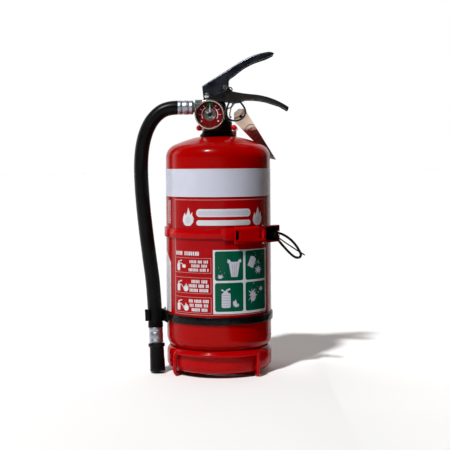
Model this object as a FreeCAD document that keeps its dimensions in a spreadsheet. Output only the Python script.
import FreeCAD, Part
import math
import os
import Sketcher

# Stored-pressure dry-powder fire extinguisher, about 2.5 kg, standing in its red steel vehicle bracket.
# Frame: origin on the floor under the cylinder's axis, +Z up, gauge and label to -Y, hose on -X,
# levers towards +X, bracket back plate on +Y. Millimetres and degrees.

SIZES = {
    # cylinder shell and foot
    "wire_d": 4.5,           # bracket wire under the foot ring
    "base_z": 4.6,           # underside of the foot ring
    "shell_r": 65.0,
    "shell_wall": 1.4,
    "foot_wall": 2.0,
    "low_tangent_z": 44.5,   # where the lower dome starts
    "top_tangent_z": 264.5,  # where the shoulder starts
    "knuckle_r": 17.0,
    "crown_r": 130.0,
    "neck_r": 17.0,
    # label sleeve
    "label_low_z": 74.4,
    "label_top_z": 250.4,
    "label_skin": 0.2,
    # valve
    "shank_r": 12.9,
    "valve_r": 18.0,
    "seat_z": 304.0,
    "outlet_z": 326.8,
    "stem_r": 3.0,
    "stem_top_z": 361.9,
    # gauge
    "gauge_x": -9.4,
    "gauge_z": 316.6,
    "gauge_r": 18.6,
    "dial_r": 16.4,
    # levers
    "pivot_x": -12.7,
    "pivot_z": 340.7,
    "pivot_r": 2.5,
    "lock_x": 9.7,           # safety pin
    "lock_z": 350.7,
    "lock_r": 1.6,
    "handle_w": 22.0,
    "handle_sheet": 1.6,
    "lever_gap": 0.3,
    "lever_sheet": 1.5,
    # hose set
    "hose_r": 8.9,
    "nozzle_x": -75.7,
    "nozzle_y": -19.7,
    "nozzle_z": 1.7,
    "nozzle_lean": 7.9,
    # plastic band that carries the hose clip
    "band_z": 68.8,
    "band_tall": 9.0,
    "band_thick": 1.8,
    # steel bracket
    "bracket_turn": -4.0,
    "plate_w": 46.0,
    "plate_y": 69.6,
    "plate_t": 3.0,
    "plate_lip_y": 64.6,
    "plate_top_z": 290.0,
    "strap_r": 65.9,
    "strap_t": 1.5,
    "strap_z": 172.6,
    "strap_tall": 11.3,
    "latch_tall": 20.0,
    "latch_r": 71.0,
    "latch_angle": 54.0,
    "gate_pin_r": 2.0,
}

CLOCKWISE = -1
COUNTER = 1

doc = FreeCAD.newDocument("Extinguisher")
pieces = []


class Size:
    """A dimension: its value, and the sheet formula that gives it."""

    def __init__(self, value, text):
        self.value = value
        self.text = text

    def __add__(self, other):
        other = as_size(other)
        return Size(self.value + other.value, f"({self.text} + {other.text})")

    def __sub__(self, other):
        other = as_size(other)
        return Size(self.value - other.value, f"({self.text} - {other.text})")

    def __rsub__(self, other):
        return as_size(other) - self

    def __mul__(self, other):
        other = as_size(other)
        return Size(self.value * other.value, f"({self.text} * {other.text})")

    def __truediv__(self, other):
        other = as_size(other)
        return Size(self.value / other.value, f"({self.text} / {other.text})")

    def __neg__(self):
        return Size(-self.value, f"(0 - {self.text})")

    __radd__ = __add__
    __rmul__ = __mul__


def as_size(number):
    if isinstance(number, Size):
        return number
    return Size(float(number), f"{number:.6g}" if number >= 0 else f"(0 - {-number:.6g})")


def root(size):
    return Size(math.sqrt(size.value), f"sqrt({size.text})")


class Sheet:
    """The driving dimensions, one attribute for each cell."""

    def __init__(self, sizes):
        cells = doc.addObject("Spreadsheet::Sheet", "Sizes")
        for row, (name, value) in enumerate(sizes.items(), start=1):
            cells.set(f"A{row}", name)
            cells.set(f"B{row}", f"{value:g}")
            cells.setAlias(f"B{row}", name)
            setattr(self, name, Size(value, f"Sizes.{name}"))
        doc.recompute()


S = Sheet(SIZES)


# ---- helpers -------------------------------------------------------------------------------------

def vec(x, y, z):
    return FreeCAD.Vector(as_size(x).value, as_size(y).value, as_size(z).value)


def bind(obj, prop, size):
    obj.setExpression(prop, as_size(size).text)


def rotation(axis, degrees):
    return FreeCAD.Rotation(FreeCAD.Vector(*axis), degrees)


UPRIGHT = rotation((0, 0, 1), 0)
TO_FRONT = rotation((1, 0, 0), 90)      # local +Z points to -Y
TO_LEFT = rotation((0, 1, 0), -90)      # local +Z points to -X


def place(obj, at=(0, 0, 0), turn=UPRIGHT):
    """Put an object at a point given in sheet sizes, turned as said."""
    obj.Placement = FreeCAD.Placement(vec(*at), turn)
    for axis, size in zip("xyz", at):
        if isinstance(size, Size):
            bind(obj, f"Placement.Base.{axis}", size)


def new_body(label, at=(0, 0, 0), turn=UPRIGHT):
    body = doc.addObject("PartDesign::Body", label)
    body.Label = label
    place(body, at, turn)
    pieces.append(body)
    return body


def new_sketch(body, role="XZ_Plane"):
    plane = [feature for feature in body.Origin.OriginFeatures if feature.Role == role][0]
    sketch = body.newObject("Sketcher::SketchObject", "Profile")
    sketch.AttachmentSupport = (plane, [""])
    sketch.MapMode = "FlatFace"
    return sketch


def pin_point(sketch, geo, end, x, y):
    """Fix one end of an edge at sheet sizes measured from the sketch's origin."""
    for kind, size, axis in (("DistanceX", as_size(x), -2), ("DistanceY", as_size(y), -1)):
        if size.text == "0":
            sketch.addConstraint(Sketcher.Constraint("PointOnObject", geo, end, axis))
        else:
            index = sketch.addConstraint(Sketcher.Constraint(kind, -1, 1, geo, end, size.value))
            sketch.setExpression(f"Constraints[{index}]", size.text)


def arc_through(start, end, radius, side):
    """The minor arc from start to end; side is CLOCKWISE or COUNTER, seen along the way round."""
    chord = end - start
    middle = (start + end) * 0.5
    normal = FreeCAD.Vector(-chord.y, chord.x, 0).normalize()
    sagitta = radius - math.sqrt(max(radius * radius - chord.Length ** 2 / 4, 0))
    return Part.Arc(start, middle - normal * sagitta * side, end)


def smooth_arcs(heading, points):
    """Outline corners of arcs that run on from a heading in degrees, each tangent to the last."""
    corners = []
    for start, end in zip(points, points[1:]):
        chord_heading = math.degrees(math.atan2(end[1] - start[1], end[0] - start[0]))
        half_turn = chord_heading - heading
        chord = math.hypot(end[0] - start[0], end[1] - start[1])
        radius = chord / (2 * math.sin(math.radians(abs(half_turn))))
        corners.append((*start, radius, COUNTER if half_turn > 0 else CLOCKWISE))
        heading = chord_heading + half_turn
    return corners


def outline(sketch, corners):
    """Draw a closed outline. A corner is (x, y), or (x, y, radius, side) when an arc leaves it."""
    ends = []
    count = len(corners)
    for index in range(count):
        here = corners[index]
        after = corners[(index + 1) % count]
        start = vec(here[0], here[1], 0)
        end = vec(after[0], after[1], 0)
        if len(here) == 2:
            geo = sketch.addGeometry(Part.LineSegment(start, end), False)
            ends.append((geo, 1, 2))
        else:
            radius = as_size(here[2])
            geo = sketch.addGeometry(arc_through(start, end, radius.value, here[3]), False)
            forward = sketch.getPoint(geo, 1).distanceToPoint(start) < 1e-6
            ends.append((geo, 1, 2) if forward else (geo, 2, 1))
            rule = sketch.addConstraint(Sketcher.Constraint("Radius", geo, radius.value))
            sketch.setExpression(f"Constraints[{rule}]", radius.text)
    for index in range(count):
        geo, first, last = ends[index]
        following, next_first, _ = ends[(index + 1) % count]
        sketch.addConstraint(Sketcher.Constraint("Coincident", geo, last, following, next_first))
        pin_point(sketch, geo, first, corners[index][0], corners[index][1])


def turned(label, corners, at=(0, 0, 0), turn=UPRIGHT):
    """A piece turned about its local Z axis from an outline of (radius, height) corners."""
    body = new_body(label, at, turn)
    sketch = new_sketch(body)
    outline(sketch, corners)
    spin = body.newObject("PartDesign::Revolution", "Turn")
    spin.Profile = sketch
    spin.ReferenceAxis = (sketch, ["V_Axis"])
    spin.Angle = 360
    doc.recompute()
    return body


def tube(label, inner, outer, low, high, at=(0, 0, 0), turn=UPRIGHT):
    return turned(label, [(inner, low), (outer, low), (outer, high), (inner, high)], at, turn)


def plate(label, corners, width, role="XZ_Plane", at=(0, 0, 0), turn=UPRIGHT):
    """A piece padded both ways from a side outline."""
    body = new_body(label, at, turn)
    sketch = new_sketch(body, role)
    outline(sketch, corners)
    pad = body.newObject("PartDesign::Pad", "Pad")
    pad.Profile = sketch
    pad.SideType = "Symmetric"
    bind(pad, "Length", width)
    doc.recompute()
    return body


def pocket(body, corners, width, role="XZ_Plane"):
    """Cut an outline out of a piece, both ways from its plane."""
    before = body.Shape.Volume
    sketch = new_sketch(body, role)
    outline(sketch, corners)
    cut = body.newObject("PartDesign::Pocket", "Pocket")
    cut.Profile = sketch
    cut.SideType = "Symmetric"
    bind(cut, "Length", width)
    doc.recompute()
    if body.Shape.Volume >= before - 1e-3:
        raise SystemExit(f"{body.Label}: the pocket cut nothing")


def cylinder_on(body, kind, radius, length, at, turn=UPRIGHT):
    """Add ("Additive") or take away ("Subtractive") a cylinder at a place in the body's frame."""
    feature = body.newObject(f"PartDesign::{kind}Cylinder", kind)
    bind(feature, "Radius", radius)
    bind(feature, "Height", length)
    place(feature, at, turn)
    doc.recompute()


def drill(body, radius, length, at, turn=UPRIGHT):
    before = body.Shape.Volume
    cylinder_on(body, "Subtractive", radius, length, at, turn)
    if body.Shape.Volume >= before - 1e-3:
        raise SystemExit(f"{body.Label}: the drill cut nothing")


def round_edges(body, radius, wanted):
    """Fillet the edges of the body's tip that the test picks."""
    tip = body.Tip
    names = [f"Edge{n}" for n, edge in enumerate(tip.Shape.Edges, start=1) if wanted(edge)]
    fillet = body.newObject("PartDesign::Fillet", "Fillet")
    fillet.Base = (tip, names)
    fillet.Radius = radius
    doc.recompute()


def ring(label, ring_r, wire_r, at, turn=UPRIGHT):
    """A round wire ring about its local Z axis."""
    piece = doc.addObject("Part::Torus", label)
    piece.Label = label
    bind(piece, "Radius1", ring_r)
    bind(piece, "Radius2", wire_r)
    place(piece, at, turn)
    pieces.append(piece)


def solid_piece(label, shape, at=(0, 0, 0), turn=UPRIGHT):
    """A piece whose shape Part's own functions make."""
    piece = doc.addObject("Part::Feature", label)
    piece.Label = label
    piece.Shape = shape
    place(piece, at, turn)
    pieces.append(piece)
    return piece


def rounded_path(points, radii):
    """Straight runs joined by tangent arcs, one radius for each inner point."""
    edges = []
    start = points[0]
    for index in range(1, len(points) - 1):
        corner = points[index]
        back = (points[index - 1] - corner).normalize()
        ahead = (points[index + 1] - corner).normalize()
        half_open = back.getAngle(ahead) / 2
        reach = radii[index - 1] / math.tan(half_open)
        enter = corner + back * reach
        leave = corner + ahead * reach
        towards = (back + ahead).normalize()
        middle = corner + towards * (radii[index - 1] / math.sin(half_open) - radii[index - 1])
        if (enter - start).Length > 1e-4:
            edges.append(Part.LineSegment(start, enter).toShape())
        edges.append(Part.Arc(enter, middle, leave).toShape())
        start = leave
    if (points[-1] - start).Length > 1e-4:
        edges.append(Part.LineSegment(start, points[-1]).toShape())
    return Part.Wire(edges)


def cord_radii(points):
    """The largest arc that each bend's two runs allow."""
    radii = []
    for index in range(1, len(points) - 1):
        before = points[index] - points[index - 1]
        after = points[index + 1] - points[index]
        half_turn = before.getAngle(after) / 2
        radii.append(0.45 * min(before.Length, after.Length) / math.tan(half_turn))
    return radii


def swept(path, radius):
    """A round rod along a path."""
    first = path.OrderedEdges[0]
    start = first.valueAt(first.FirstParameter)
    heading = first.tangentAt(first.FirstParameter)
    ring = Part.Wire([Part.Circle(start, heading, radius).toShape()])
    return path.makePipeShell([ring], True, False)


def cord(label, route, radius):
    """A flexible piece's plain tube, checked against its section times its length."""
    points = [FreeCAD.Vector(*point) for point in route]
    radii = cord_radii(points)
    path = rounded_path(points, radii)
    shape = swept(path, radius)
    expected = math.pi * radius * radius * path.Length
    print(f"{label}: length {path.Length:.1f}, tightest arc {min(radii):.1f}, "
          f"volume {shape.Volume / expected:.4f} of section times length")
    return solid_piece(label, shape)


def hexagon(across_flats):
    """Corners of a hexagon about the sketch's origin."""
    radius = as_size(across_flats) / math.sqrt(3)
    return [(radius * math.cos(math.radians(60 * n)), radius * math.sin(math.radians(60 * n)))
            for n in range(6)]


# ---- pressure shell ------------------------------------------------------------------------------

def dome_z(r, inset=0):
    """Height of the crown above the shoulder's tangent, at a radius, for a skin set in by inset."""
    crown = S.crown_r - inset
    reach = S.crown_r - S.knuckle_r
    base = root(reach * reach - (S.shell_r - S.knuckle_r) * (S.shell_r - S.knuckle_r))
    return root(crown * crown - as_size(r) * r) - base


def knuckle_end(inset=0):
    """Radius and height, above the tangent, of the point where knuckle and crown meet."""
    sine = (S.shell_r - S.knuckle_r) / (S.crown_r - S.knuckle_r)
    cosine = root(1 - sine * sine)
    small = S.knuckle_r - inset
    return S.shell_r - S.knuckle_r + small * sine, small * cosine


def make_cylinder_shell():
    wall = S.shell_wall
    out_r, out_h = knuckle_end()
    in_r, in_h = knuckle_end(wall)
    low = S.low_tangent_z
    top = S.top_tangent_z
    inner = S.shell_r - wall
    turned("cylinder_shell", [
        (0, low - dome_z(0), S.crown_r, COUNTER),
        (out_r, low - out_h, S.knuckle_r, COUNTER),
        (S.shell_r, low),
        (S.shell_r, top, S.knuckle_r, COUNTER),
        (out_r, top + out_h, S.crown_r, COUNTER),
        (S.neck_r, top + dome_z(S.neck_r)),
        (S.neck_r, top + dome_z(S.neck_r, wall), S.crown_r - wall, CLOCKWISE),
        (in_r, top + in_h, S.knuckle_r - wall, CLOCKWISE),
        (inner, top),
        (inner, low, S.knuckle_r - wall, CLOCKWISE),
        (in_r, low - in_h, S.crown_r - wall, CLOCKWISE),
        (0, low - dome_z(0, wall)),
    ])


def make_foot_ring():
    base = S.base_z
    turned("foot_ring", [
        (S.shell_r - 9, base, 9, COUNTER),
        (S.shell_r, base + 9),
        (S.shell_r, base + 21, 8, COUNTER),
        (S.shell_r - 4, base + 27.93),
        (S.shell_r - 5, base + 26.2, 6, CLOCKWISE),
        (S.shell_r - S.foot_wall, base + 21),
        (S.shell_r - S.foot_wall, base + 9, 7, CLOCKWISE),
        (S.shell_r - 9, base + S.foot_wall),
    ])


def make_neck():
    """Welded neck boss, its O-ring and the flared plastic collar over it."""
    turned("neck_boss", [
        (13.0, 284.5), (16.95, 284.5), (16.95, 297.2), (16.3, 297.2), (13.0, 293.9),
    ])
    turned("neck_collar", [
        (17.3, 291.3), (22.5, 290.6), (22.0, 292.4, 9.0, CLOCKWISE), (18.9, 297.3), (17.3, 297.3),
    ])
    ring("neck_seal", 14.0, 0.85, (0, 0, 296.4))


def make_label():
    """Printed vinyl sleeve right round the cylinder."""
    z_low = S.label_low_z
    skin_r = S.shell_r + S.label_skin
    tube("label_sleeve", S.shell_r + 0.02, skin_r, z_low, S.label_top_z)


def make_siphon():
    """Dip tube from the valve down to just above the lower dome, with its cut-off foot."""
    tube("siphon_tube", 5.0, 6.3, 26.0, 276.0)


def make_powder():
    """The settled powder charge, round the dip tube."""
    inner = S.shell_r - S.shell_wall - 0.3
    turned("powder_charge", [
        (6.6, 24.0), (40.0, 30.0), (54.0, 36.0), (inner, 50.0), (inner, 205.0), (6.6, 205.0),
    ])


# ---- valve ---------------------------------------------------------------------------------------

def make_valve_body():
    body = turned("valve_body", [
        (6.5, 268.0), (S.shank_r, 268.0), (S.shank_r, 297.5), (S.valve_r, 297.5),
        (S.valve_r, 308.0), (13.0, 314.5), (10.5, 330.0), (9.0, 333.0), (9.0, 345.0),
        (S.stem_r + 1.2, 345.0), (S.stem_r + 1.2, S.seat_z), (8.0, S.seat_z), (8.0, 276.0),
        (6.5, 276.0),
    ])
    cylinder_on(body, "Additive", 9.0, 17.0, (0, 0, S.outlet_z), TO_LEFT)
    cylinder_on(body, "Additive", 7.0, 17.4, (S.gauge_x, 0, S.gauge_z), TO_FRONT)
    cheek = new_sketch(body)
    outline(cheek, [
        (-17.0, 334.5), (12.5, 334.5), (12.5, 343.0), (-8.0, 343.0), (-9.0, 345.5), (-16.5, 345.5),
        (-17.0, 344.0),
    ])
    pad = body.newObject("PartDesign::Pad", "Lugs")
    pad.Profile = cheek
    pad.SideType = "Symmetric"
    bind(pad, "Length", S.handle_w - S.handle_sheet * 2 - 0.2)
    doc.recompute()
    drill(body, S.stem_r + 1.2, 345.2 - S.seat_z, (0, 0, S.seat_z))
    drill(body, 5.0, 14.0, (-4.2, 0, S.outlet_z), TO_LEFT)
    drill(body, 3.0, 11.0, (S.gauge_x, -7.0, S.gauge_z), TO_FRONT)
    drill(body, S.pivot_r, 40.0, (S.pivot_x, 20.0, S.pivot_z), TO_FRONT)
    drill(body, 2.0, 40.0, (7.0, 20.0, 338.6), TO_FRONT)


def make_valve_internals():
    """Stem with its seat disc, gland bush, return spring and the ring that the spring stands on."""
    dome_r = S.stem_r
    turned("valve_stem", [
        (0, 296.0), (3.4, 296.0), (3.4, 299.4), (6.8, 299.4), (6.8, 301.4), (3.0, 301.4),
        (3.0, S.stem_top_z - 3.0, dome_r, COUNTER), (0, S.stem_top_z),
    ])
    tube("seat_seal", S.stem_r + 0.02, 6.8, 301.5, S.seat_z - 0.15)
    tube("stem_bush", S.stem_r + 0.05, S.stem_r + 1.15, 334.0, 344.8)
    tube("spring_ring", 6.2, 7.9, 276.05, 278.0)
    coil_r = 5.6
    helix = Part.makeHelix(3.5, 17.5, coil_r)
    start = FreeCAD.Vector(coil_r, 0, 0)
    ring = Part.Wire([Part.Circle(start, FreeCAD.Vector(0, 1, 0), 0.6).toShape()])
    spring = Part.Wire(helix).makePipeShell([ring], True, True)
    solid_piece("stem_spring", spring, (0, 0, 280.5))


def make_outlet():
    """Nipple, hex nut and the crimped ferrule that ends the hose at the valve."""
    tube("outlet_nipple", 3.0, 4.9, 6.0, 46.0, (0, 0, S.outlet_z), TO_LEFT)
    nut = plate("hose_nut", hexagon(17.0), 11.0, "XY_Plane", (-22.6, 0, S.outlet_z), TO_LEFT)
    round_edges(nut, 0.6, lambda edge: edge.Length > 5 and edge.BoundBox.ZLength < 1e-6)
    drill(nut, 5.0, 20.0, (0, 0, -10.0))
    turned("ferrule_top", [
        (5.1, 28.6), (6.4, 28.6), (6.4, 30.2), (8.0, 30.2), (8.9, 31.4), (8.9, 33.6),
        (8.6, 34.2), (8.6, 36.0), (8.9, 36.6), (8.9, 42.0), (8.6, 42.6), (8.6, 44.4),
        (8.9, 45.0), (8.9, 49.0), (8.4, 49.8), (5.1, 49.8),
    ], (0, 0, S.outlet_z), TO_LEFT)


# ---- pressure gauge ------------------------------------------------------------------------------

def make_gauge():
    """Case, bezel, dial, lens, Bourdon tube, arbor and needle; local +Z faces the reader."""
    at = (S.gauge_x, 0, S.gauge_z)
    rim = S.gauge_r
    dial = S.dial_r
    turned("gauge_case", [
        (1.2, 9.0), (2.95, 9.0), (2.95, 18.2), (6.6, 18.2), (6.6, 19.4), (rim - 3, 19.4),
        (rim - 1.2, 21.4), (rim - 1.2, 29.0), (dial + 0.1, 29.0), (dial + 0.1, 21.0), (1.2, 21.0),
    ], at, TO_FRONT)
    turned("gauge_bezel", [
        (rim - 1.1, 24.0), (rim, 24.0), (rim, 32.2, 1.4, COUNTER), (rim - 1.2, 33.4),
        (dial - 0.4, 33.4), (dial - 0.4, 32.3), (rim - 1.1, 32.3),
    ], at, TO_FRONT)
    tube("gauge_gasket", 3.1, 6.4, 17.45, 18.15, at, TO_FRONT)
    tube("gauge_dial", 1.0, dial, 26.4, 27.2, at, TO_FRONT)
    turned("gauge_lens", [(0, 31.2), (dial + 0.9, 31.2), (dial + 0.9, 32.2), (0, 32.2)], at, TO_FRONT)
    tube("gauge_seat", dial, dial + 1.0, 29.1, 31.1, at, TO_FRONT)
    turned("needle_arbor", [(0, 22.0), (0.9, 22.0), (0.9, 29.6), (0, 29.6)], at, TO_FRONT)
    upright = FreeCAD.Vector(0, 0, 1)
    bend = Part.Circle(FreeCAD.Vector(0, 0, 0), upright, 5.5)
    bourdon = swept(Part.Wire([Part.Arc(bend, math.radians(-200), math.radians(60)).toShape()]), 0.9)
    solid_piece("bourdon_tube", bourdon, (S.gauge_x, -23.6, S.gauge_z), TO_FRONT)
    needle = plate("gauge_needle", [
        (-1.1, -4.0), (1.1, -4.0), (0.9, 2.0), (0.35, 13.6), (-0.35, 13.6), (-0.9, 2.0),
    ], 0.5, "XY_Plane", (S.gauge_x, -28.6, S.gauge_z), TO_FRONT)
    cylinder_on(needle, "Additive", 2.2, 0.8, (0, 0, -0.4))
    drill(needle, 0.9, 4.0, (0, 0, -2.0))


# ---- levers --------------------------------------------------------------------------------------

GRIP_TOP = [(22.6, 345.3), (44.0, 342.3), (88.4, 326.0)]
GRIP_UNDER = [(22.4, 343.7), (43.8, 340.7), (86.9, 325.0)]
GRIP_HEADING = -11.0
LEVER_TOP = [(28.3, 382.4), (63.0, 394.7), (70.6, 392.9)]
LEVER_UNDER = [(29.1, 381.13), (62.8, 393.2), (69.3, 391.9)]
LEVER_HEADING = 32.05


def is_web_edge(edge, line_x, line_z, slope, end_x):
    """True for the long side edges above a sloping line, up to an end."""
    middle = edge.CenterOfMass
    along = edge.BoundBox.YLength < 0.01 and edge.BoundBox.XLength > 3
    return along and middle.z > line_z + slope * (middle.x - line_x) and middle.x < end_x


def make_carry_handle():
    """Fixed lower handle, a channel open below the grip and open above the valve."""
    handle = plate("carry_handle", [
        (-17.4, 333.2), (-17.4, 341.0), (-16.0, 344.4), (-11.0, 346.0), (2.5, 347.4),
        (6.0, 353.6), (8.6, 355.0), (12.4, 354.4), (14.8, 350.4), (18.6, 346.08),
        *smooth_arcs(GRIP_HEADING, GRIP_TOP), (88.4, 326.0),
        (87.2, 321.4), (77.0, 327.4), (61.5, 332.4, 90.0, COUNTER), (34.5, 335.2), (27.5, 332.6),
        (21.5, 331.8), (12.0, 333.2),
    ], S.handle_w)
    pocket(handle, [
        (-30.0, 320.0), (-30.0, 360.0), (19.4, 360.0), (19.4, 344.28),
        *smooth_arcs(GRIP_HEADING, GRIP_UNDER), (86.9, 325.0),
        (95.0, 318.0),
    ], S.handle_w - S.handle_sheet * 2)
    drill(handle, S.pivot_r, 40.0, (S.pivot_x, 20.0, S.pivot_z), TO_FRONT)
    drill(handle, S.lock_r + 0.1, 40.0, (S.lock_x, 20.0, S.lock_z), TO_FRONT)
    drill(handle, 2.0, 40.0, (7.0, 20.0, 338.6), TO_FRONT)
    round_edges(handle, 1.4, lambda edge: is_web_edge(edge, 22.6, 344.4, -0.22, 80.0)
                and edge.CenterOfMass.x > 17 and abs(edge.CenterOfMass.y) > 10.9)
    return handle


def make_squeeze_lever():
    """Upper lever, a channel open below, hinged over the carry handle's cheeks."""
    inside = S.handle_w + S.lever_gap * 2
    lever = plate("squeeze_lever", [
        (-18.8, 350.6), (-19.3, 352.6), *smooth_arcs(LEVER_HEADING, LEVER_TOP),
        (70.6, 392.9), (69.4, 391.0), (61.0, 387.0), (46.9, 382.3, 80.0, COUNTER),
        (22.9, 367.4), (15.6, 362.4), (14.2, 359.8), (14.2, 350.4), (12.6, 348.2), (-5.0, 339.6),
        (-10.0, 335.6), (-15.4, 336.0), (-17.6, 339.0),
    ], inside + S.lever_sheet * 2)
    pocket(lever, [
        (-32.0, 342.88), *smooth_arcs(LEVER_HEADING, LEVER_UNDER), (69.3, 391.9),
        (76.0, 386.0), (76.0, 325.0), (-32.0, 325.0),
    ], inside)
    drill(lever, S.pivot_r + 0.05, 40.0, (S.pivot_x, 20.0, S.pivot_z), TO_FRONT)
    drill(lever, S.lock_r + 0.2, 20.0, (S.lock_x, -5.0, S.lock_z), TO_FRONT)
    clear_lock_slot(lever)
    round_edges(lever, 1.9, lambda edge: is_web_edge(edge, 22.6, 377.6, 0.5, 68.0)
                and abs(edge.CenterOfMass.y) > 12)


def clear_lock_slot(lever):
    """Rear cheek slot, concentric with the pivot, that lets the lever pass the safety pin."""
    reach_x = SIZES["lock_x"] - SIZES["pivot_x"]
    reach_z = SIZES["lock_z"] - SIZES["pivot_z"]
    radius = math.hypot(reach_x, reach_z)
    start = math.degrees(math.atan2(reach_z, reach_x))
    for step in range(9):
        angle = math.radians(start + 3.0 * step)
        at = (SIZES["pivot_x"] + radius * math.cos(angle), 20.0,
              SIZES["pivot_z"] + radius * math.sin(angle))
        drill(lever, S.lock_r + 0.4, 15.0, at, TO_FRONT)


def make_pins():
    """Pivot rivet, handle rivet, safety pin and its pull ring."""
    rivet("pivot_rivet", S.pivot_r, 25.8, 3.7, (S.pivot_x, 0, S.pivot_z))
    rivet("handle_rivet", 2.0, 21.74, 3.2, (7.0, 0, 338.6), 0.08)
    pin = turned("safety_pin", [
        (0, -16.6), (S.lock_r, -16.6), (S.lock_r, 9.6), (0.9, 10.8), (0, 10.8),
    ], (S.lock_x, 0, S.lock_z), TO_FRONT)
    cylinder_on(pin, "Additive", 2.9, 3.0, (-1.5, 0, -18.6), rotation((0, 1, 0), 90))
    drill(pin, 1.7, 5.0, (-2.5, 0, -18.6), rotation((0, 1, 0), 90))
    ring_r = 12.5
    ring("pull_ring", ring_r, 1.1, (S.lock_x, 18.6, S.lock_z - ring_r), TO_FRONT)


def make_lever_trim():
    """Eyelet round the lever's front hole, and the thin tamper tie along the lever's lower edge."""
    face = S.handle_w / 2 + S.lever_gap + S.lever_sheet + 0.05
    tube("lever_eyelet", S.lock_r + 0.25, S.lock_r + 1.1, face, face + 0.5,
         (S.lock_x, 0, S.lock_z), TO_FRONT)
    loop_r = 2.8
    wire_r = 0.7
    y = -face.value - wire_r
    loop_at = FreeCAD.Vector(15.4, y, 348.0)
    loop = Part.makeTorus(loop_r, wire_r, loop_at, FreeCAD.Vector(0, 1, 0))
    start = loop_at + FreeCAD.Vector(-loop_r, 0, -0.4)
    bend = [start, FreeCAD.Vector(9.0, y, 345.9), FreeCAD.Vector(-3.0, y, 341.9)]
    strap = swept(rounded_path(bend, [30.0]), wire_r)
    solid_piece("tamper_tie", loop.fuse(strap).removeSplitter())


def rivet(label, radius, grip, head_r, at, rise=0.9):
    """A rivet across the levers: shank along Y, a head on each side."""
    half = as_size(grip) / 2 + 0.15
    turned(label, [
        (0, -half - rise), (head_r * 0.7, -half - rise), (head_r, -half), (radius, -half),
        (radius, half), (head_r, half), (head_r * 0.7, half + rise), (0, half + rise),
    ], at, TO_FRONT)


# ---- hose ----------------------------------------------------------------------------------------

HOSE_ROUTE = [
    (-49.85, 0.0, 326.8), (-64.0, 0.0, 326.8), (-79.6, -0.4, 315.4), (-89.6, -0.8, 298.0),
    (-95.0, -1.2, 276.0), (-96.4, -1.6, 250.0), (-94.8, -2.2, 216.0), (-90.8, -3.0, 176.0),
    (-85.6, -3.8, 136.0), (-80.97, -5.72, 102.43), (-78.82, -11.41, 61.35),
]


def hose_end_turn():
    """Direction of the nozzle set, leaning forward and towards the cylinder as it goes down."""
    return rotation((0, 1, 0), -3.0).multiply(rotation((1, 0, 0), SIZES["nozzle_lean"] * -1))


def make_hose():
    cord("hose", HOSE_ROUTE, SIZES["hose_r"])
    at = (S.nozzle_x, S.nozzle_y, S.nozzle_z)
    turn = hose_end_turn()
    tube("hose_collar", 5.0, 9.2, 53.4, 60.2, at, turn)
    turned("ferrule_low", [
        (5.0, 34.8), (8.3, 34.8), (8.6, 35.4), (8.6, 38.0), (8.3, 38.5), (8.3, 40.0), (8.6, 40.5),
        (8.6, 47.0), (8.3, 47.5), (8.3, 49.0), (8.6, 49.5), (8.6, 52.6), (8.3, 53.3), (5.0, 53.3),
    ], at, turn)
    turned("nozzle", [
        (7.6, 0), (9.3, 0), (9.4, 0.8), (8.7, 27.6), (8.7, 29.4), (9.6, 29.8),
        (10.2, 30.8), (10.2, 33.2), (9.6, 34.2), (5.0, 34.7), (5.0, 26.0), (3.2, 20.0), (3.2, 14.0),
    ], at, turn)


def make_hose_band():
    """Plastic band round the cylinder, and the hose clip that hangs on it."""
    half = S.band_tall / 2
    inner = S.shell_r + S.label_skin + 0.05
    outer = inner + S.band_thick
    tube("hose_band", inner, outer, S.band_z - half, S.band_z + half)
    outer_r = outer.value + 0.1
    bore_r = SIZES["hose_r"] + 0.1
    tall = 14.4
    middle_z = SIZES["band_z"] + 0.9
    low_z = middle_z - tall / 2
    arm_thick = 1.8
    along_hose = FreeCAD.Placement(hose_point_at(middle_z), hose_end_turn())
    bore = Part.makeCylinder(bore_r, 40.0, FreeCAD.Vector(0, 0, -20.0))
    lips = Part.makeBox(9.0, 5.0, tall, FreeCAD.Vector(-11.6, -11.0, -tall / 2))
    mouth = Part.makeBox(13.0, 14.0, tall + 2, FreeCAD.Vector(-6.5, -18.0, -tall / 2 - 1))
    grip = Part.makeCylinder(bore_r + 2.2, tall, FreeCAD.Vector(0, 0, -tall / 2)).fuse(lips)
    grip = grip.cut(bore).cut(mouth)
    grip.Placement = along_hose
    bore.Placement = along_hose
    band_face = Part.makeCylinder(outer_r, tall + 2, FreeCAD.Vector(0, 0, low_z - 1))
    saddle = Part.makeCylinder(outer_r + 1.8, tall, FreeCAD.Vector(0, 0, low_z)).cut(band_face)
    sector = Part.makeBox(20.0, 34.0, tall + 2, FreeCAD.Vector(-75.0, -26.0, low_z - 1))
    clip = grip.fuse(saddle.common(sector))
    for arm_z in (low_z - 0.1, low_z + tall - arm_thick + 0.1):
        arm = Part.makeBox(8.0, 9.0, arm_thick, FreeCAD.Vector(-71.5, -14.5, arm_z))
        clip = clip.fuse(arm.cut(band_face).cut(bore))
    solid_piece("hose_clip", clip.removeSplitter())


def hose_point_at(z):
    """Centre of the lower hose at a height, along the nozzle set's axis."""
    heading = hose_end_turn().multVec(FreeCAD.Vector(0, 0, 1))
    start = vec(S.nozzle_x, S.nozzle_y, S.nozzle_z)
    return start + heading * ((z - start.z) / heading.z)


# ---- steel bracket -------------------------------------------------------------------------------

BRACKET = rotation((0, 0, 1), SIZES["bracket_turn"])


def around(angle, radius, z=0.0):
    """A point at an angle from the bracket's front, towards +X."""
    turn = math.radians(angle)
    return (radius * math.sin(turn), -radius * math.cos(turn), z)


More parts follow.
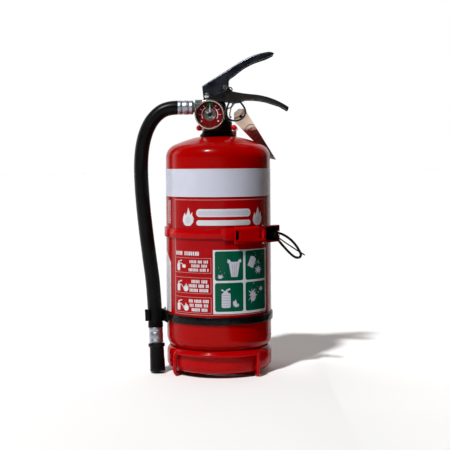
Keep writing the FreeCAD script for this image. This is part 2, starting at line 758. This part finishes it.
GATE_HINGE = around(155.0, 69.6)
LATCH_PIN = around(SIZES["latch_angle"], SIZES["latch_r"])
END_PLATE_T = 1.2
HOOK_SWING = rotation((0, 0, 1), -18.0)
WINDOW_X = -41.3
WINDOW_W = 5.2
LATCH_DROP = 1.4         # the latch hangs this far below the strap's middle


def bracket_piece(label, shape):
    return solid_piece(label, shape, turn=BRACKET)


def make_back_plate():
    """Back plate, a shallow channel open to the cylinder, with four screw holes and hinge lugs."""
    half = S.plate_w / 2
    front = S.plate_y
    back = S.plate_y + S.plate_t
    body = new_body("back_plate", turn=BRACKET)
    sketch = new_sketch(body, "XY_Plane")
    outline(sketch, [
        (-half, back), (-half, S.plate_lip_y), (-half + 2.5, S.plate_lip_y), (-half + 2.5, front),
        (half - 2.5, front), (half - 2.5, S.plate_lip_y), (half, S.plate_lip_y), (half, back),
    ])
    pad = body.newObject("PartDesign::Pad", "Pad")
    pad.Profile = sketch
    bind(pad, "Length", S.plate_top_z)
    doc.recompute()
    for x in (-14.0, 14.0):
        for z in (60.0, 240.0):
            drill(body, 3.3, 20.0, (x, 80.0, z), TO_FRONT)
    lug_low = S.strap_z - S.strap_tall / 2 - 5.3
    lug_high = S.strap_z + S.strap_tall / 2 + 0.3
    for z in (lug_low, lug_high):
        cylinder_on(body, "Additive", 4.0, 5.0, (GATE_HINGE[0], GATE_HINGE[1], z))
        web = body.newObject("PartDesign::AdditiveBox", "LugWeb")
        web.Length = GATE_HINGE[0] - 21.5
        web.Width = 3.4
        web.Height = 5.0
        place(web, (21.5, GATE_HINGE[1] - 0.5, z))
        doc.recompute()
        drill(body, S.gate_pin_r, 7.0, (GATE_HINGE[0], GATE_HINGE[1], z - 1))


def make_cradle_wire():
    """Wire cradle: up in front of the foot ring, across it, and back under it to the plate."""
    z_low = SIZES["wire_d"] / 2
    z_bar = 28.5
    ring_r = SIZES["shell_r"] + 0.4 + SIZES["wire_d"] / 2
    spread = math.radians(38.0)
    beyond = 11.0
    tangent = FreeCAD.Vector(ring_r * math.sin(spread), -ring_r * math.cos(spread), 0)
    leg = tangent + FreeCAD.Vector(math.cos(spread), math.sin(spread), 0) * beyond
    apex = FreeCAD.Vector(0, -ring_r / math.cos(spread), z_bar)
    tail = FreeCAD.Vector(11.0, 68.7, z_low)
    points = [FreeCAD.Vector(-tail.x, tail.y, tail.z), FreeCAD.Vector(-leg.x, leg.y, z_low),
              FreeCAD.Vector(-leg.x, leg.y, z_bar), apex, FreeCAD.Vector(leg.x, leg.y, z_bar),
              FreeCAD.Vector(leg.x, leg.y, z_low), tail]
    path = rounded_path(points, [5.0, 4.5, ring_r - 1.5, 4.5, 5.0])
    bracket_piece("cradle_wire", swept(path, SIZES["wire_d"] / 2))


def make_neck_fork():
    """One wire bent into two prongs beside the neck, welded to the plate's front, and its caps."""
    prong_z = 300.6
    weld_z = 272.5
    half = 21.6
    foot = 17.0
    wire_r = 2.4
    back = SIZES["plate_y"] - wire_r - 0.02
    side = [FreeCAD.Vector(half, -17.0, prong_z), FreeCAD.Vector(half, 30.0, prong_z),
            FreeCAD.Vector(foot, back, prong_z), FreeCAD.Vector(foot, back, weld_z)]
    other = [FreeCAD.Vector(-point.x, point.y, point.z) for point in reversed(side)]
    path = rounded_path(side + other, [20.0, 9.0, 7.0, 7.0, 9.0, 20.0])
    bracket_piece("neck_fork", swept(path, wire_r))
    forward = FreeCAD.Vector(0, 1, 0)
    for label, x in (("fork_cap_left", -half), ("fork_cap_right", half)):
        end = FreeCAD.Vector(x, -19.4, prong_z)
        cap = Part.makeSphere(3.5, end).fuse(Part.makeCylinder(3.2, 10.0, end, forward))
        socket = Part.makeCylinder(wire_r, 12.0, FreeCAD.Vector(x, -17.0, prong_z), forward)
        bracket_piece(label, cap.cut(socket).removeSplitter())


def arc_band(inner, outer, z_low, z_high, start, end):
    """A curved strip between two angles from the bracket's front."""
    edges = []
    corners = {}
    for name, radius in (("in", inner), ("out", outer)):
        corners[name] = [FreeCAD.Vector(*around(angle, radius, z_low))
                         for angle in (start, (start + end) / 2, end)]
    edges.append(Part.Arc(*corners["in"]).toShape())
    edges.append(Part.LineSegment(corners["in"][2], corners["out"][2]).toShape())
    edges.append(Part.Arc(*reversed(corners["out"])).toShape())
    edges.append(Part.LineSegment(corners["out"][0], corners["in"][0]).toShape())
    return Part.Face(Part.Wire(edges)).extrude(FreeCAD.Vector(0, 0, z_high - z_low))


def make_straps():
    """Fixed strap on the left, and the gate strap that swings on the right."""
    inner = SIZES["strap_r"]
    outer = inner + SIZES["strap_t"]
    low = SIZES["strap_z"] - SIZES["strap_tall"] / 2
    high = SIZES["strap_z"] + SIZES["strap_tall"] / 2
    fixed = arc_band(inner, outer, low, high, -188.0, 23.5)
    fixed = fixed.fuse(arc_band(outer, outer + END_PLATE_T, low - 1.6, high + 1.6, 9.0, 23.5))
    outward = FreeCAD.Vector(0, 1, 0)
    plate_face = Part.makeCylinder(inner + 0.02, high - low, FreeCAD.Vector(0, 0, low))
    for label, x in (("strap_rivet_left", -5.2), ("strap_rivet_right", 5.2)):
        shank = Part.makeCylinder(2.0, SIZES["plate_y"] - 60.02,
                                  FreeCAD.Vector(x, 60.0, SIZES["strap_z"]), outward)
        fixed = fixed.cut(shank)
        bracket_piece(label, shank.cut(plate_face))
    bracket_piece("fixed_strap", fixed.removeSplitter())
    gate = arc_band(inner, outer, low, high, 58.0, 149.0)
    gate = gate.fuse(knuckle(GATE_HINGE, low, high)).fuse(knuckle(LATCH_PIN, low, high))
    gate = gate.fuse(bridge(around(148.0, inner + 0.8), GATE_HINGE, low, high))
    gate = gate.fuse(bridge(around(59.0, inner + 0.8), LATCH_PIN, low, high))
    for centre in (GATE_HINGE, LATCH_PIN):
        bore = Part.makeCylinder(SIZES["gate_pin_r"] + 0.05, high - low + 2,
                                 FreeCAD.Vector(centre[0], centre[1], low - 1))
        gate = gate.cut(bore)
    gate = gate.cut(Part.makeCylinder(inner - 0.3, high - low + 2, FreeCAD.Vector(0, 0, low - 1)))
    bracket_piece("gate_strap", gate.removeSplitter())


def knuckle(centre, low, high):
    return Part.makeCylinder(3.5, high - low, FreeCAD.Vector(centre[0], centre[1], low))


def bridge(start, end, low, high):
    """A short flat web between two points in plan."""
    a = FreeCAD.Vector(start[0], start[1], low)
    b = FreeCAD.Vector(end[0], end[1], low)
    side = FreeCAD.Vector(a.y - b.y, b.x - a.x, 0).normalize() * 0.75
    corners = [a + side, b + side, b - side, a - side, a + side]
    return Part.Face(Part.makePolygon(corners)).extrude(FreeCAD.Vector(0, 0, high - low))


def latch_frame():
    """Placement with +X along the closed lever, +Y towards the cylinder, origin on the latch pin."""
    turn = BRACKET.multiply(rotation((0, 0, 1), SIZES["latch_angle"]))
    return BRACKET.multVec(FreeCAD.Vector(*LATCH_PIN)), turn


def make_latch():
    """Hook plate, pull lever and the pin that they share with the gate strap."""
    at, turn = latch_frame()
    z = SIZES["strap_z"]
    tall = SIZES["latch_tall"]
    pin_r = SIZES["gate_pin_r"]
    lever_low = z - tall / 2 - LATCH_DROP
    outer_box = Part.makeBox(30.5, 9.0, tall, FreeCAD.Vector(-4.0, -6.5, lever_low))
    outer_box = outer_box.makeFillet(4.0, [edge for edge in outer_box.Edges
                                           if edge.BoundBox.ZLength > 1 and edge.BoundBox.XMax > 20
                                           and edge.BoundBox.YMin < 0])
    outer_box = outer_box.makeFillet(3.5, [edge for edge in outer_box.Edges
                                           if edge.BoundBox.ZLength > 1 and edge.BoundBox.XMax < 0])
    room = Part.makeBox(29.0, 9.0, tall - 3.2, FreeCAD.Vector(-4.0, -8.3, lever_low + 1.6))
    lever = outer_box.cut(room)
    gap = Part.makeBox(11.0, 20.0, tall - 3.2, FreeCAD.Vector(-5.0, -10.0, lever_low + 1.6))
    lever = lever.cut(gap)
    lever = lever.cut(Part.makeCylinder(pin_r + 0.05, tall + 4, FreeCAD.Vector(0, 0, lever_low - 2)))
    eye = Part.makeCylinder(2.6, 12.0, FreeCAD.Vector(20.0, -3.6, z - LATCH_DROP),
                            FreeCAD.Vector(1, 0, 0))
    lever = lever.cut(eye)
    solid_piece("latch_lever", lever.removeSplitter(), turn=turn).Placement.Base = at

    half = tall / 2 - 1.9
    latch_z = z - LATCH_DROP
    hook = hook_shape(latch_z, half, pin_r)
    solid_piece("hook_plate", hook, turn=turn).Placement.Base = at
    solid_piece("strap_hook", strap_hook_shape(latch_z), turn=turn).Placement.Base = at

    pin = Part.makeCylinder(pin_r, tall + 1.0, FreeCAD.Vector(0, 0, lever_low - 0.5))
    for head_z in (lever_low - 1.3, lever_low + tall + 0.3):
        pin = pin.fuse(Part.makeCylinder(3.0, 1.0, FreeCAD.Vector(0, 0, head_z)))
    solid_piece("latch_pin", pin.removeSplitter(), turn=turn).Placement.Base = at

    hinge = Part.makeCylinder(pin_r, SIZES["strap_tall"] + 12.0,
                              FreeCAD.Vector(*GATE_HINGE[:2], z - SIZES["strap_tall"] / 2 - 6.0))
    for head_z in (z - SIZES["strap_tall"] / 2 - 6.8, z + SIZES["strap_tall"] / 2 + 5.4):
        hinge = hinge.fuse(Part.makeCylinder(3.0, 1.4, FreeCAD.Vector(*GATE_HINGE[:2], head_z)))
    bracket_piece("gate_pin", hinge.removeSplitter())


def strap_hook_shape(z):
    """Hook on the fixed strap's end plate, just behind the window of the hook plate."""
    block = Part.makeBox(WINDOW_W - 0.6, 5.0, 10.2, FreeCAD.Vector(WINDOW_X + 0.3, -1.1, z - 5.1))
    block.Placement = FreeCAD.Placement(FreeCAD.Vector(0, 0, 0), HOOK_SWING)
    plate_r = SIZES["strap_r"] + SIZES["strap_t"] + END_PLATE_T
    axis = FreeCAD.Vector(0, SIZES["latch_r"], z - 10.0)
    return block.cut(Part.makeCylinder(plate_r, 20.0, axis))


def hook_shape(z, half, pin_r):
    """Flat plate with a window at its free end and two ears on the latch pin."""
    tall = SIZES["latch_tall"]
    blade = Part.makeBox(35.0, 1.5, tall, FreeCAD.Vector(-42.5, -3.0, z - tall / 2))
    window = Part.makeBox(WINDOW_W, 6.0, 11.0, FreeCAD.Vector(WINDOW_X, -5.0, z - 5.5))
    shape = blade.cut(window)
    shape.Placement = FreeCAD.Placement(FreeCAD.Vector(0, 0, 0), HOOK_SWING)
    strap_mid = SIZES["strap_z"]
    clear = SIZES["strap_tall"] / 2 + 0.3
    for low, high in ((z - half, strap_mid - clear), (strap_mid + clear, z + half)):
        ear = Part.makeCylinder(3.4, high - low, FreeCAD.Vector(0, 0, low))
        arm = Part.makeBox(10.5, 1.5, high - low, FreeCAD.Vector(-10.0, -3.0, low))
        arm.Placement = FreeCAD.Placement(FreeCAD.Vector(0, 0, 0), HOOK_SWING)
        shape = shape.fuse(ear).fuse(arm)
    return shape.cut(Part.makeCylinder(pin_r + 0.05, 4 * half,
                                       FreeCAD.Vector(0, 0, z - 2 * half))).removeSplitter()


# ---- ties, chain and tag ---------------------------------------------------------------------------

PULL_LOOP_ROUTE = [
    (71.0, -21.6, 171.4), (76.6, -22.0, 170.2), (83.6, -22.6, 166.6), (90.2, -23.2, 161.4),
    (95.6, -23.8, 155.0), (99.0, -24.2, 149.2), (101.6, -24.4, 144.2), (99.4, -24.0, 140.2),
    (93.8, -23.6, 140.6), (87.2, -23.0, 146.2), (80.6, -22.4, 153.4), (74.8, -21.8, 160.2),
    (71.2, -21.4, 165.2),
]
PULL_TAIL_ROUTE = [
    (71.6, -24.2, 166.8), (80.0, -25.2, 160.4), (90.0, -26.2, 153.8), (98.6, -27.0, 148.0),
    (105.8, -27.4, 143.8),
]
TAG_TIE_ROUTE = [
    (14.6, -12.25, 332.5), (12.6, -12.9, 328.4), (10.9, -19.4, 321.0), (11.6, -19.6, 313.6),
    (16.6, -19.4, 309.6), (23.4, -18.6, 308.9), (29.6, -17.8, 311.2), (34.0, -16.8, 316.0),
    (34.8, -15.6, 322.0), (31.6, -14.2, 328.4), (27.4, -12.25, 333.6),
]
CHAIN_ROUTE = [
    (21.6, -12.2, 336.4), (18.2, -12.5, 329.6), (15.9, -11.6, 322.4), (14.9, -8.4, 316.6),
    (15.7, -4.2, 313.4), (17.2, 0.3, 315.0),
]


def make_ties():
    cord("pull_loop", PULL_LOOP_ROUTE, 1.55)
    cord("pull_tail", PULL_TAIL_ROUTE, 0.8)
    cord("tag_tie", TAG_TIE_ROUTE, 1.15)
    cord("bead_chain", CHAIN_ROUTE, 1.1)


def make_tag():
    """Service tag, a thin card that leans over the shoulder on the right."""
    right_top = FreeCAD.Vector(31.0, -3.0, 329.0)
    right_low = FreeCAD.Vector(73.0, 12.0, 261.0)
    left_top = FreeCAD.Vector(15.0, 6.5, 315.5)
    left_low = FreeCAD.Vector(68.0, 47.0, 262.5)
    thick = 0.8
    wires = []
    for near, far in ((right_top, left_top), (right_low, left_low)):
        along = (right_low - right_top + left_low - left_top).normalize()
        rise = (far - near).cross(along).normalize() * (thick / 2)
        wires.append(Part.makePolygon([near - rise, far - rise, far + rise, near + rise, near - rise]))
    solid_piece("service_tag", Part.makeLoft(wires, True, True))


# ---- the whole object ------------------------------------------------------------------------------

make_cylinder_shell()
make_foot_ring()
make_neck()
make_label()
make_siphon()
make_powder()
make_valve_body()
make_valve_internals()
make_outlet()
make_gauge()
make_carry_handle()
make_squeeze_lever()
make_pins()
make_lever_trim()
make_hose()
make_hose_band()
make_back_plate()
make_cradle_wire()
make_neck_fork()
make_straps()
make_latch()
make_ties()
make_tag()
doc.recompute()

for item in doc.Objects:
    if "Invalid" in item.State or "Error" in item.State:
        raise SystemExit(f"{item.Label} did not recompute: {item.State}")
for piece in pieces:
    if piece.Shape.isNull() or not piece.Shape.isValid():
        raise SystemExit(f"{piece.Label} has no valid shape")

os.makedirs("parts", exist_ok=True)
for piece in pieces:
    piece.Shape.exportStep(f"parts/{piece.Label}.step")
print(f"{len(pieces)} nodes written")
